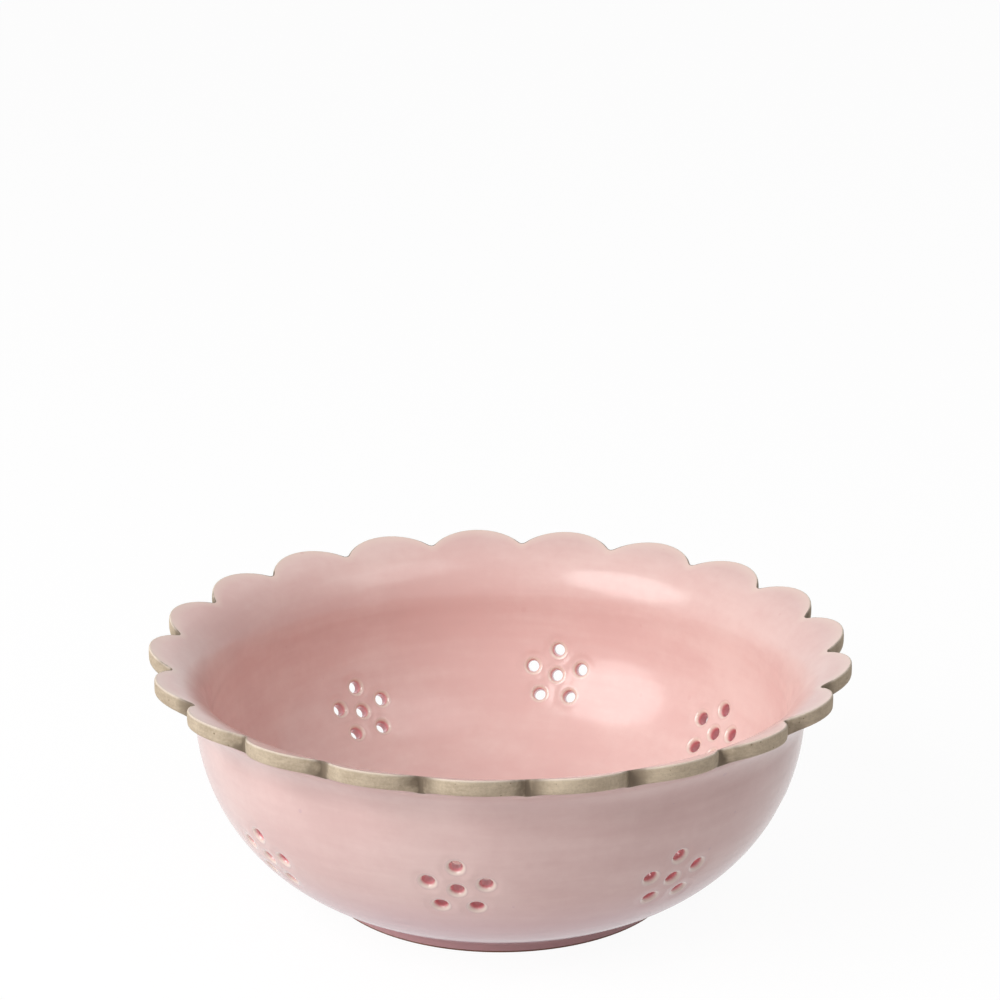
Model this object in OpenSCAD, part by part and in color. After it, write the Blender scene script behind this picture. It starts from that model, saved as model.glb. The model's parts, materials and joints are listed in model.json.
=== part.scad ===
// Berry colander bowl: a pressed stoneware bowl with a flared, scalloped brim,
// flowers of drain holes round the wall and in the floor, and a turned foot ring.
// The clay, its glaze coats, the bare edge and the glazed drain holes are separate solids.
// Millimetres, +Z up, origin on the table under the middle of the foot.

/* [Brim] */
// Diameter across the scallop tips
rim_d = 170; // [166:1:180]
// Height of the scallop tips above the table
bowl_h = 62; // [60:1:66]
// Upward slope of the brim, in degrees
brim_slope = 19; // [14:1:24]
// Upright thickness of the brim at its cut edge
edge_t = 4; // [3.4:0.1:4.6]
// Radius of the roll from the wall out into the brim, on the upper side
lip_r = 16; // [13:0.5:18]
// Number of scallops round the brim
scallop_count = 21; // [18:1:24]
// How far each valley reaches in from the scallop tips
scallop_depth = 5.8; // [5:0.1:7]
// Angle of the first scallop tip from +X, in degrees
scallop_turn = 8.7; // [0:0.1:17]

/* [Wall] */
// How far the scallop tips stand out past the upright wall below them
brim_reach = 11; // [10:0.5:14]
// Wall thickness where it stands upright
wall_t = 4; // [3.6:0.1:4.4]
// Radius of the round belly, on the outside
belly_r = 47; // [45:0.5:48]
// Height of the floor's upper face above the table
floor_h = 7; // [6:0.1:8]

/* [Foot] */
// Height of the foot ring
foot_h = 3; // [2:0.1:3.5]
// Width of the foot ring
foot_w = 5; // [3:0.1:6]
// How far the foot is turned in from the wall above it
foot_step = 0.6; // [0.3:0.1:1]
// Bare bevel round the bottom of the foot
foot_bare = 0.6; // [0.4:0.1:1]

/* [Glaze] */
// Thickness of every glaze coat
glaze_t = 0.4; // [0.3:0.05:0.5]
// Depth of the stained bare band round the cut edge
band_t = 0.5; // [0.4:0.05:0.8]

/* [Drain holes] */
// Finished diameter of a drain hole, inside its glaze
hole_d = 3.3; // [2.8:0.1:3.6]
// Radius of the ring of petals round the middle hole
petal_r = 7.1; // [6.6:0.1:7.6]
// Petals in one flower
petal_count = 5; // [4:1:5]
// Angle of the first flower from +X, in degrees
flower_turn = 79.5; // [75:0.5:90]
// Place of the flowers up the belly, in degrees from its lowest line
flower_climb = 61.5; // [58:0.5:64]

/* [Hidden] */
$fn = 96;

// Each flower was punched by hand: degrees off its even place, round the bowl and up the belly
flower_drift = [-2.5, 0, 0, 2.5, 2.5, 1, 0, -3];
flower_rise = [3.2, -4.8, 0, -1.2, 5, 0.9, 0, -2.6];
flower_count = len(flower_drift);

// Flats that make up each round of the section
belly_steps = 14;
lip_steps = 7;
// One overrun for every cut
over = 2;
cap_h = bowl_h + edge_t;
rim_r = rim_d / 2;
wall_r = rim_r - brim_reach;

// Outer belly arc: it would touch the table, and stands upright at the wall's radius
outer_centre = [wall_r - belly_r, belly_r];
// Inner belly arc: same centre height, lowest at the floor
inner_belly_r = belly_r - floor_h;
inner_centre = [wall_r - wall_t - inner_belly_r, belly_r];
outer_lip_r = lip_r - edge_t * cos(brim_slope);

// Foot: its outside follows where the belly arc reaches the foot's top
foot_r = outer_centre[0] + sqrt(pow(belly_r, 2) - pow(belly_r - foot_h, 2)) - foot_step;
foot_inner_r = foot_r - foot_w;

// Bore in the clay, before its glaze lining
bore_r = hole_d / 2 + glaze_t;
hole_r = hole_d / 2;

// Scallops: equal arcs, each through a tip and the two valleys beside it
half_pitch = 180 / scallop_count;
lobe_sag = rim_r - (rim_r - scallop_depth) * cos(half_pitch);
lobe_half = (rim_r - scallop_depth) * sin(half_pitch);
lobe_r = (pow(lobe_sag, 2) + pow(lobe_half, 2)) / (2 * lobe_sag);
lobe_place = rim_r - lobe_r;

clay_colour = [0.83, 0.78, 0.68];
band_colour = [0.72, 0.66, 0.53];
inner_colour = [0.87, 0.66, 0.63];
outer_colour = [0.92, 0.79, 0.76];

function polar(r, angle) = r * [cos(angle), sin(angle)];
function tip_angle(i) = scallop_turn + 2 * half_pitch * i;
// Centre of the lip arc that touches a belly arc and the brim's straight line
function lip_centre(centre, belly, lip, edge_h) =
    let (along = polar(1, brim_slope),
         start = [rim_r, edge_h] + lip * [sin(brim_slope), -cos(brim_slope)],
         gap = start - centre,
         slide = sqrt(pow(gap * along, 2) - gap * gap + pow(belly + lip, 2)) - gap * along)
    start + slide * along;

// Points along an arc, without its first
function arc(centre, r, from, to, steps) =
    [for (i = [1 : steps]) centre + polar(r, from + (to - from) * i / steps)];

// Half section of everything above and inside one skin of the bowl, down to base_h
module skin_section(centre, belly, lip, edge_h, base_h, top_h) {
    lowest = acos((centre[1] - base_h) / belly) - 90;
    lip_at = lip_centre(centre, belly, lip, edge_h);
    throat = atan2(lip_at[1] - centre[1], lip_at[0] - centre[0]);
    brim = lip_at + polar(lip, 90 + brim_slope);
    brim_end = brim + (rim_r + over - brim[0]) * [1, tan(brim_slope)];
    polygon(concat([[0, base_h], centre + polar(belly, lowest)],
                   arc(centre, belly, lowest, throat, belly_steps),
                   arc(lip_at, lip, 180 + throat, 90 + brim_slope, lip_steps),
                   [brim_end, [brim_end[0], top_h], [0, top_h]]));
}

// Everything inside the bowl's inner skin, pushed inset deep into the clay
module inner_form(inset) {
    rotate_extrude()
        skin_section(inner_centre, inner_belly_r + inset, lip_r - inset,
                     bowl_h - inset / cos(brim_slope), floor_h - inset, cap_h + over);
}

// Everything inside the bowl's outer skin above the foot, pulled inset deep into the clay
module outer_form(inset) {
    rotate_extrude()
        skin_section(outer_centre, belly_r - inset, outer_lip_r + inset,
                     bowl_h - edge_t + inset / cos(brim_slope), foot_h, cap_h);
}

// Plan outline of the scalloped edge, drawn in by inset
module scallop_outline(inset) {
    for (i = [0 : scallop_count - 1])
        translate(polar(lobe_place, tip_angle(i))) circle(lobe_r - inset);
    polygon([for (i = [0 : scallop_count - 1]) polar(lobe_place, tip_angle(i))]);
}

module scallop_prism(inset) {
    linear_extrude(height = cap_h + over) scallop_outline(inset);
}

// Straight rods through the wall along the drain holes of flower number k
module flower_rods(k, radius) {
    around = flower_turn + 360 / flower_count * k + flower_drift[k];
    climb = flower_climb + flower_rise[k];
    for (p = [0 : petal_count]) {
        reach = p == petal_count ? 0 : petal_r;
        sideways = reach * sin(360 / petal_count * p);
        upward = reach * cos(360 / petal_count * p);
        petal_climb = climb + upward / belly_r * 180 / PI;
        wall_reach = outer_centre[0] + belly_r * sin(petal_climb);
        rotate([0, 0, around + sideways / wall_reach * 180 / PI])
            translate([outer_centre[0], 0, outer_centre[1]])
                rotate([0, 180 - petal_climb, 0])
                    translate([0, 0, belly_r - floor_h - over])
                        cylinder(h = floor_h + 2 * over, r = radius);
    }
}

// Straight rods along the drain holes in the floor
module floor_rods(radius) {
    for (p = [0 : petal_count])
        rotate([0, 0, flower_turn + 360 / petal_count * p])
            translate([p == petal_count ? 0 : petal_r, 0, 0])
                cylinder(h = floor_h + over, r = radius);
}

module all_bores() {
    for (k = [0 : flower_count - 1]) flower_rods(k, bore_r);
    floor_rods(bore_r);
}

module stoneware_body() {
    color(clay_colour)
        difference() {
            intersection() {
                outer_form(glaze_t);
                scallop_prism(band_t);
            }
            inner_form(glaze_t);
            all_bores();
        }
}

module foot_ring() {
    color(clay_colour)
        rotate_extrude()
            polygon([[foot_inner_r + foot_bare, 0], [foot_r - foot_bare, 0], [foot_r, foot_bare],
                     [foot_r - glaze_t, foot_bare], [foot_r - glaze_t, foot_h],
                     [foot_inner_r, foot_h], [foot_inner_r, foot_bare]]);
}

module inner_glaze() {
    color(inner_colour)
        difference() {
            intersection() {
                inner_form(glaze_t);
                outer_form(0);
                scallop_prism(band_t);
            }
            inner_form(0);
            all_bores();
        }
}

module outer_glaze() {
    color(outer_colour) {
        difference() {
            intersection() {
                outer_form(0);
                scallop_prism(band_t);
            }
            outer_form(glaze_t);
            for (k = [0 : flower_count - 1]) flower_rods(k, bore_r);
        }
        difference() {
            translate([0, 0, foot_bare]) cylinder(h = foot_h - foot_bare, r = foot_r);
            cylinder(h = foot_h + over, r = foot_r - glaze_t);
        }
    }
}

module base_glaze() {
    color(outer_colour)
        difference() {
            translate([0, 0, foot_h - glaze_t]) cylinder(h = glaze_t, r = foot_inner_r);
            floor_rods(bore_r);
        }
}

module edge_band() {
    color(band_colour)
        difference() {
            intersection() {
                outer_form(0);
                scallop_prism(0);
            }
            inner_form(0);
            scallop_prism(band_t);
        }
}

// The glaze that lines the six drain holes of one wall flower
module drain_flower(k) {
    color(inner_colour)
        difference() {
            intersection() {
                outer_form(0);
                flower_rods(k, bore_r);
            }
            inner_form(0);
            flower_rods(k, hole_r);
        }
}

module floor_flower() {
    color(inner_colour)
        intersection() {
            translate([0, 0, foot_h - glaze_t]) cylinder(h = floor_h - foot_h + glaze_t, r = foot_inner_r);
            difference() {
                floor_rods(bore_r);
                floor_rods(hole_r);
            }
        }
}

stoneware_body();
foot_ring();
inner_glaze();
outer_glaze();
base_glaze();
edge_band();
drain_flower(0);  // drain_flower_1
drain_flower(1);  // drain_flower_2
drain_flower(2);  // drain_flower_3
drain_flower(3);  // drain_flower_4
drain_flower(4);  // drain_flower_5
drain_flower(5);  // drain_flower_6
drain_flower(6);  // drain_flower_7
drain_flower(7);  // drain_flower_8
floor_flower();
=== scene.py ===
"""Berry colander bowl: glaze coats, bare cut edge, glazed drain holes and foot, dressed round its solids."""
import json
import logging
import math
from dataclasses import dataclass
from enum import Enum
from functools import partial
from typing import Callable, Iterable, Sequence

import bmesh
import bpy
from mathutils import Color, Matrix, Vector

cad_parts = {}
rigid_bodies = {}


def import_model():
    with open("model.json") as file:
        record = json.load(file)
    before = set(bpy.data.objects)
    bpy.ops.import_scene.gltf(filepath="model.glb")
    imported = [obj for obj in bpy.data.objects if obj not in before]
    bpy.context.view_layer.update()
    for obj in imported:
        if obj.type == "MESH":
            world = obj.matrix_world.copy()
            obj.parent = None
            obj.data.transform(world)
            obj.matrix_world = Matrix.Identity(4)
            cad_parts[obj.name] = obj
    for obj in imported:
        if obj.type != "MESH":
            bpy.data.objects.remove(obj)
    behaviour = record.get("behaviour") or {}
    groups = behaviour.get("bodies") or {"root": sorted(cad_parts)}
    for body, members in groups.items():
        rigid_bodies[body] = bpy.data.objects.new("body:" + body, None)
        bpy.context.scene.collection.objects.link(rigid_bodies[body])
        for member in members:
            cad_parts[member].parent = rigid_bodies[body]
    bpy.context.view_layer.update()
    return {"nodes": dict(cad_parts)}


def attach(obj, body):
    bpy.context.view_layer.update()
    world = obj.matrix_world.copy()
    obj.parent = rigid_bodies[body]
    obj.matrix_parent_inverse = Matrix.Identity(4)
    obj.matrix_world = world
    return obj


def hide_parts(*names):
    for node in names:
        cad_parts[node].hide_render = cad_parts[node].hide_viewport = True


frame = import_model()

Mesh = bmesh.types.BMesh
Vert = bmesh.types.BMVert
Edge = bmesh.types.BMEdge
Face = bmesh.types.BMFace
Node = bpy.types.Node
Socket = bpy.types.NodeSocket
Material = bpy.types.Material
Inputs = dict[str | int, object]
Tone = tuple[float, float, float, float]
Span = tuple[float, float]

log = logging.getLogger("berry_bowl")
TURN = 2.0 * math.pi
MM = 0.001
# Points nearer than these, in metres, become one: within a small piece, and along a coat's seams
POINT_GAP = 1e-7
SEAM_GAP = 1e-6
# Angle past which an edge stays sharp
CREASE = math.radians(40.0)
TRUE_NORMAL = "true_normal"


class Side(Enum):
    """Which way a skin of the bowl faces, as the sign of its outward normal on the section."""

    INSIDE = 1.0
    OUTSIDE = -1.0


@dataclass(frozen=True)
class BowlSizes:
    """The bowl's own sizes in metres and radians: the solids' sizes, and the small rounds that dress them."""

    rim_radius: float = 85.0 * MM
    height: float = 62.0 * MM
    brim_slope: float = math.radians(19.0)
    edge_thick: float = 4.0 * MM
    lip_radius: float = 16.0 * MM
    scallops: int = 21
    scallop_depth: float = 5.8 * MM
    valley_fillet: float = 1.0 * MM
    first_tip: float = math.radians(8.7)
    wall_radius: float = 74.0 * MM
    wall_thick: float = 4.0 * MM
    belly_radius: float = 47.0 * MM
    floor_height: float = 7.0 * MM
    foot_height: float = 3.0 * MM
    foot_width: float = 5.0 * MM
    foot_step: float = 0.6 * MM
    foot_bare: float = 0.6 * MM
    foot_fillet: float = 1.2 * MM
    # Glaze of the solids, glaze of the dressed bowl, and depth of the bare band
    glaze: float = 0.4 * MM
    coat: float = 0.3 * MM
    band: float = 0.5 * MM

    @property
    def foot_radius(self) -> float:
        """Outer radius of the foot ring."""
        rise = self.belly_radius - self.foot_height
        reach = math.sqrt(self.belly_radius ** 2 - rise ** 2)
        return self.wall_radius - self.belly_radius + reach - self.foot_step

    @property
    def well_radius(self) -> float:
        """Inner radius of the foot ring."""
        return self.foot_radius - self.foot_width

    @property
    def half_pitch(self) -> float:
        """Half the angle from one scallop tip to the next."""
        return math.pi / self.scallops


@dataclass(frozen=True)
class Stretch:
    """One straight or round stretch of a section, given by its start, its length and its whole turn."""

    radius: float
    height: float
    heading: float
    length: float
    turn: float = 0.0

    def at(self, along: float) -> tuple[float, float, float]:
        """Finds a point of the stretch.

        Args:
            along: distance from the start of the stretch.

        Returns:
            The radius, the height and the heading there.
        """
        if self.turn == 0.0:
            return (self.radius + along * math.cos(self.heading),
                    self.height + along * math.sin(self.heading), self.heading)
        bend = self.turn / self.length
        heading = self.heading + bend * along
        return (self.radius + (math.sin(heading) - math.sin(self.heading)) / bend,
                self.height - (math.cos(heading) - math.cos(self.heading)) / bend, heading)


class Section:
    """A skin's half section, as a chain of stretches measured along its length.

    A wall's skin ends in its belly, its lip and its brim.
    """

    HALVINGS = 40

    def __init__(self, side: Side, start: Span, heading: float, runs: Sequence[Span]) -> None:
        """Chains the runs.

        Args:
            side: which way the skin faces.
            start: radius and height of the first point.
            heading: direction of the first run, in radians above the horizontal.
            runs: length and turn of each run in order.
        """
        self.side = side
        self.stretches: list[Stretch] = []
        self.marks: list[float] = [0.0]
        radius, height = start
        for length, turn in runs:
            stretch = Stretch(radius, height, heading, length, turn)
            self.stretches.append(stretch)
            self.marks.append(self.marks[-1] + length)
            radius, height, heading = stretch.at(length)

    @property
    def length(self) -> float:
        """Whole length of the section."""
        return self.marks[-1]

    @property
    def lip_mark(self) -> float:
        """Distance along a wall's section where the lip starts."""
        return self.marks[-3]

    @property
    def belly_mark(self) -> float:
        """Distance along a wall's section where the belly starts."""
        return self.marks[-4]

    @property
    def belly_heading(self) -> float:
        """Direction in which a wall's belly starts."""
        return self.stretches[-3].heading

    def at(self, along: float) -> tuple[float, float, float]:
        """Finds a point of the section.

        Args:
            along: distance along the section.

        Returns:
            The radius, the height and the heading there.
        """
        for mark, stretch in zip(reversed(self.marks[:-1]), reversed(self.stretches)):
            if along >= mark:
                return stretch.at(along - mark)
        return self.stretches[0].at(along)

    def place(self, along: float, angle: float, lift: float = 0.0) -> Vector:
        """Puts a point of the skin into the bowl.

        Args:
            along: distance along the section.
            angle: angle round the bowl.
            lift: distance out of the clay, square to the skin.

        Returns:
            The point in the bowl's frame.
        """
        radius, height, heading = self.at(along)
        radius -= self.side.value * lift * math.sin(heading)
        height += self.side.value * lift * math.cos(heading)
        return Vector((radius * math.cos(angle), radius * math.sin(angle), height))

    def normal(self, along: float, angle: float) -> Vector:
        """Finds which way is out of the clay at a point of the skin.

        Args:
            along: distance along the section.
            angle: angle round the bowl.

        Returns:
            The direction, of length 1.
        """
        heading = self.at(along)[2]
        out = -self.side.value * math.sin(heading)
        return Vector((out * math.cos(angle), out * math.sin(angle), self.side.value * math.cos(heading)))

    def along_at(self, radius: float) -> float:
        """Finds how far along the section a plan radius lies.

        Args:
            radius: plan radius on the lip or brim.

        Returns:
            The distance along the section.
        """
        low, high = self.lip_mark, self.length
        for _ in range(self.HALVINGS):
            middle = (low + high) / 2
            if self.at(middle)[0] < radius:
                low = middle
            else:
                high = middle
        return (low + high) / 2

    def height_at(self, radius: float) -> float:
        """Height of the lip's or brim's skin at a plan radius."""
        return self.at(self.along_at(radius))[1]


class BowlForm:
    """The shape that every piece follows: both skins and the scalloped outline."""

    FILLET_STEPS = 3
    LOBE_STEPS = 14

    def __init__(self, sizes: BowlSizes) -> None:
        """Works out both skins and the outline.

        Args:
            sizes: the bowl's sizes.
        """
        self.sizes = sizes
        self.inner_belly = sizes.belly_radius - sizes.floor_height
        self.inner_hub = Vector((sizes.wall_radius - sizes.wall_thick - self.inner_belly, sizes.belly_radius))
        self.outer_hub = Vector((sizes.wall_radius - sizes.belly_radius, sizes.belly_radius))
        self.inside = self._inside()
        self.outside = self._outside()
        reach = sizes.rim_radius - sizes.scallop_depth
        sag = sizes.rim_radius - reach * math.cos(sizes.half_pitch)
        half = reach * math.sin(sizes.half_pitch)
        self.lobe_radius = (sag ** 2 + half ** 2) / (2 * sag)
        self.lobe_hub = sizes.rim_radius - self.lobe_radius
        across = self.lobe_hub * math.sin(sizes.half_pitch)
        self.valley_hub = (self.lobe_hub * math.cos(sizes.half_pitch)
                           + math.sqrt((self.lobe_radius + sizes.valley_fillet) ** 2 - across ** 2))
        self.lobe_columns = 2 * self.FILLET_STEPS + self.LOBE_STEPS
        self.columns = self.lobe_columns * sizes.scallops
        self.start_angle = sizes.first_tip + sizes.half_pitch

    def _lip(self, hub: Vector, belly: float, lip: float, edge: float) -> tuple[float, float, float]:
        """Fits the lip's round between the belly and the brim.

        Args:
            hub: centre of the belly's round.
            belly: radius of the belly's round.
            lip: radius of the lip's round.
            edge: height of this skin at the rim.

        Returns:
            The throat's angle seen from the hub, the lip's turn, and the length of straight brim to the rim.
        """
        slope = self.sizes.brim_slope
        along = Vector((math.cos(slope), math.sin(slope)))
        start = Vector((self.sizes.rim_radius, edge)) + lip * Vector((along.y, -along.x))
        gap = start - hub
        slide = math.sqrt(gap.dot(along) ** 2 - gap.length_squared + (belly + lip) ** 2) - gap.dot(along)
        way = start + slide * along - hub
        throat = math.atan2(way.y, way.x)
        return throat, slope - throat - math.pi / 2, -slide

    def _inside(self) -> Section:
        """Builds the inner skin, from the middle of the floor out to the brim.

        Returns:
            The skin's section, which runs past the rim.
        """
        sizes, lip = self.sizes, self.sizes.lip_radius
        throat, roll, brim = self._lip(self.inner_hub, self.inner_belly, lip, sizes.height)
        climb = throat + math.pi / 2
        return Section(Side.INSIDE, (0.0, sizes.floor_height), 0.0, [
            (self.inner_hub.x, 0.0), (self.inner_belly * climb, climb), (lip * -roll, roll),
            (brim + lip / 2, 0.0)])

    def _outside(self) -> Section:
        """Builds the outer skin, from the foot's bevel up to the brim.

        Returns:
            The skin's section, which runs past the rim.
        """
        sizes = self.sizes
        belly, fillet = sizes.belly_radius, sizes.foot_fillet
        lip = sizes.lip_radius - sizes.edge_thick * math.cos(sizes.brim_slope)
        throat, roll, brim = self._lip(self.outer_hub, belly, lip, sizes.height - sizes.edge_thick)
        across = sizes.foot_radius + fillet - self.outer_hub.x
        drop = math.sqrt((belly + fillet) ** 2 - across ** 2)
        leave = math.atan2(-drop, across)
        return Section(Side.OUTSIDE, (sizes.foot_radius, sizes.foot_bare), math.pi / 2, [
            (self.outer_hub.y - drop - sizes.foot_bare, 0.0), (fillet * -leave, leave),
            (belly * (throat - leave), throat - leave), (lip * -roll, roll), (brim + lip / 2, 0.0)])

    def rim_point(self, column: int, inset: float) -> Span:
        """Finds a point of the scalloped outline.

        Args:
            column: which column of the rim, counted from a valley.
            inset: distance in from the cut edge.

        Returns:
            Its plan radius and its angle round the bowl.
        """
        half_pitch = self.sizes.half_pitch
        lobe, step = divmod(column % self.columns, self.lobe_columns)
        mirrored = step > self.lobe_columns / 2
        if mirrored:
            step = self.lobe_columns - step
        valley = self.valley_hub * Vector((math.cos(half_pitch), -math.sin(half_pitch)))
        to_lobe = Vector((self.lobe_hub, 0.0)) - valley
        meet = math.atan2(to_lobe.y, to_lobe.x)
        if step <= self.FILLET_STEPS:
            aim = math.pi - half_pitch
            angle = aim + (meet - aim) * step / self.FILLET_STEPS
            point = valley + (self.sizes.valley_fillet + inset) * Vector((math.cos(angle), math.sin(angle)))
        else:
            angle = (meet - math.pi) * (1 - (step - self.FILLET_STEPS) / (self.LOBE_STEPS / 2))
            point = Vector((self.lobe_hub, 0.0))
            point += (self.lobe_radius - inset) * Vector((math.cos(angle), math.sin(angle)))
        local = math.atan2(point.y, point.x) * (-1 if mirrored else 1)
        return point.length, self.start_angle + 2 * half_pitch * (lobe + 0.5) + local


@dataclass(frozen=True)
class WallSeat:
    """Where a drain hole opens on a curved skin."""

    section: Section
    angle: float
    along: float

    def spot(self, radius: float, spoke: float) -> Span:
        """Finds a point of a ring round the hole: its angle round the bowl, and how far along the skin."""
        along = self.along + radius * math.sin(spoke)
        return self.angle + radius * math.cos(spoke) / self.section.at(along)[0], along

    def place(self, radius: float, spoke: float, lift: float) -> Vector:
        """Puts a point of a ring round the hole into the bowl."""
        angle, along = self.spot(radius, spoke)
        return self.section.place(along, angle, lift)


@dataclass(frozen=True)
class FlatSeat:
    """Where a drain hole opens on the flat floor or under it."""

    x: float
    y: float
    height: float
    side: Side

    def place(self, radius: float, spoke: float, lift: float) -> Vector:
        """Puts a point of a ring round the hole into the bowl."""
        return Vector((self.x + radius * math.cos(spoke), self.y + radius * math.sin(spoke),
                       self.height + self.side.value * lift))


@dataclass(frozen=True)
class Flower:
    """What every flower of drain holes shares: five petals round one hole."""

    PETALS = 5
    REACH = 7.1 * MM

    turn: float


@dataclass(frozen=True)
class WallFlower(Flower):
    """A flower of drain holes in the wall, placed by its angle up the belly from straight down."""

    climb: float

    def holes(self, form: BowlForm, side: Side) -> list[WallSeat]:
        """Seats the six holes on one skin.

        Args:
            form: the bowl's form.
            side: the skin that they open on.

        Returns:
            One seat for each hole, the middle one last.
        """
        seats = []
        belly = form.sizes.belly_radius
        section = form.inside if side is Side.INSIDE else form.outside
        for petal in range(self.PETALS + 1):
            reach = 0.0 if petal == self.PETALS else self.REACH
            spot = TURN * petal / self.PETALS
            climb = self.climb + reach * math.cos(spot) / belly
            wall = form.outer_hub.x + belly * math.sin(climb)
            angle = self.turn + reach * math.sin(spot) / wall
            seats.append(WallSeat(section, angle, self._along(form, side, climb)))
        return seats

    @staticmethod
    def _along(form: BowlForm, side: Side, climb: float) -> float:
        """Finds how far along a skin's section a hole's axis comes out.

        Args:
            form: the bowl's form.
            side: the skin.
            climb: the axis's angle up from straight down, seen from the outer belly's centre.

        Returns:
            The distance along the section.
        """
        if side is Side.OUTSIDE:
            out = form.outside
            return out.belly_mark + form.sizes.belly_radius * (climb - out.belly_heading)
        shift = form.inner_hub.x - form.outer_hub.x
        ray = shift * math.sin(climb) + math.sqrt(form.inner_belly ** 2 - (shift * math.cos(climb)) ** 2)
        inner_climb = math.atan2(ray * math.sin(climb) - shift, ray * math.cos(climb))
        return form.inside.belly_mark + form.inner_belly * inner_climb


@dataclass(frozen=True)
class FloorFlower(Flower):
    """The flower of drain holes in the middle of the floor."""

    def holes(self, height: float, side: Side) -> list[FlatSeat]:
        """Seats the six holes on a flat face.

        Args:
            height: height of the face.
            side: which way it faces.

        Returns:
            One seat for each hole, the middle one last.
        """
        spots = [self.turn + TURN * petal / self.PETALS for petal in range(self.PETALS)]
        return [*(FlatSeat(self.REACH * math.cos(a), self.REACH * math.sin(a), height, side) for a in spots),
                FlatSeat(0.0, 0.0, height, side)]


@dataclass(frozen=True)
class HoleShape:
    """Sizes of a drain hole: its bore, its rounded mouths and the dimple that the glaze sinks in."""

    # Radii of the lining's hidden back, of the bore's waist and of the mouth
    clay_bore: float = 2.05 * MM
    waist: float = 1.42 * MM
    mouth: float = 2.5 * MM
    # Depth of the mouth's round, and widths of the land and of the ring of cuts round it
    mouth_depth: float = 1.3 * MM
    land: float = 0.1 * MM
    collar: float = 0.4 * MM
    # Depth of the dimple, and how far it reaches from the hole's axis
    dimple: float = 0.15 * MM
    dimple_reach: float = 4.4 * MM
    spokes: int = 28
    round_steps: int = 8

    @property
    def edge(self) -> float:
        """Radius of the hole that is left in the glaze coat."""
        return self.mouth + self.land

    def dent(self, gap: Vector) -> Vector:
        """Finds the dimple at a gap from the hole's axis.

        Args:
            gap: the way from the axis, across and up the skin.

        Returns:
            The dimple's slope both ways, and its depth.
        """
        span = self.dimple_reach - self.edge
        out = min(max((gap.length - self.edge) / span, 0.0), 1.0)
        slope = gap.normalized() * -self.dimple * math.pi / (2 * span) * math.sin(math.pi * out)
        return Vector((slope.x, slope.y, self.dimple * (1 + math.cos(math.pi * out)) / 2))

    def outlines(self, place: Callable[[float, float], Vector]) -> list[list[Vector]]:
        """Draws the outlines of the hole's collar and of the hole.

        Args:
            place: gives the sheet's place for a radius and a spoke's angle.

        Returns:
            The corners of both outlines.
        """
        spokes = [TURN * index / self.spokes for index in range(self.spokes)]
        return [[place(radius, spoke) for spoke in spokes] for radius in (self.edge + self.collar, self.edge)]


def link_piece(name: str, shape: Mesh, material: Material) -> bpy.types.Object:
    """Turns a finished bmesh into a piece of the scene that rides on the bowl.

    Args:
        name: name of the piece.
        shape: its closed mesh, which is freed.
        material: its finish.

    Returns:
        The new object.
    """
    for face in shape.faces:
        face.smooth = True
    for edge in shape.edges:
        edge.smooth = edge.calc_face_angle(0.0) < CREASE
    mesh = bpy.data.meshes.new(name)
    shape.to_mesh(mesh)
    shape.free()
    if TRUE_NORMAL in mesh.attributes:
        normals = [point.vector.copy() for point in mesh.attributes[TRUE_NORMAL].data]
        mesh.attributes.remove(mesh.attributes[TRUE_NORMAL])
        mesh.normals_split_custom_set_from_vertices(normals)
    mesh.materials.append(material)
    piece = bpy.data.objects.new(name, mesh)
    bpy.context.scene.collection.objects.link(piece)
    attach(piece, "root")
    log.info("%s: %d faces", name, len(mesh.polygons))
    return piece


def close_shell(shape: Mesh) -> Mesh:
    """Merges a swept shell's meeting points and turns its faces outwards.

    Args:
        shape: the shell.

    Returns:
        The same mesh.
    """
    bmesh.ops.remove_doubles(shape, verts=shape.verts[:], dist=POINT_GAP)
    bmesh.ops.recalc_face_normals(shape, faces=shape.faces[:])
    return shape


def new_verts(geom: Iterable[object]) -> list[Vert]:
    """Picks the vertices out of what an operator made."""
    return [item for item in geom if isinstance(item, Vert)]


def edges_of(verts: Sequence[Vert]) -> list[Edge]:
    """Lists the edges that run between vertices of one ring, in a fixed order."""
    chosen = set(verts)
    return list(dict.fromkeys(e for v in verts for e in v.link_edges if e.other_vert(v) in chosen))


def grow(shape: Mesh, verts: Sequence[Vert], count: int, spot: Callable[[float], Vector]) -> list[Vert]:
    """Draws a closed ring of vertices, with a band of faces from the ring before it if there is one.

    Args:
        shape: the mesh to draw in.
        verts: the ring to grow from, in order, or an empty list.
        count: number of vertices.
        spot: gives the place of the new vertex at an angle.

    Returns:
        The new ring's vertices in order.
    """
    if verts:
        fresh = set(new_verts(bmesh.ops.extrude_edge_only(shape, edges=edges_of(verts))["geom"]))
        made = [next(e.other_vert(v) for e in v.link_edges if e.other_vert(v) in fresh) for v in verts]
    else:
        made = bmesh.ops.create_circle(shape, segments=count, radius=1.0)["verts"]
    for index, vert in enumerate(made):
        vert.co = spot(TURN * index / count)
    return made


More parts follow.
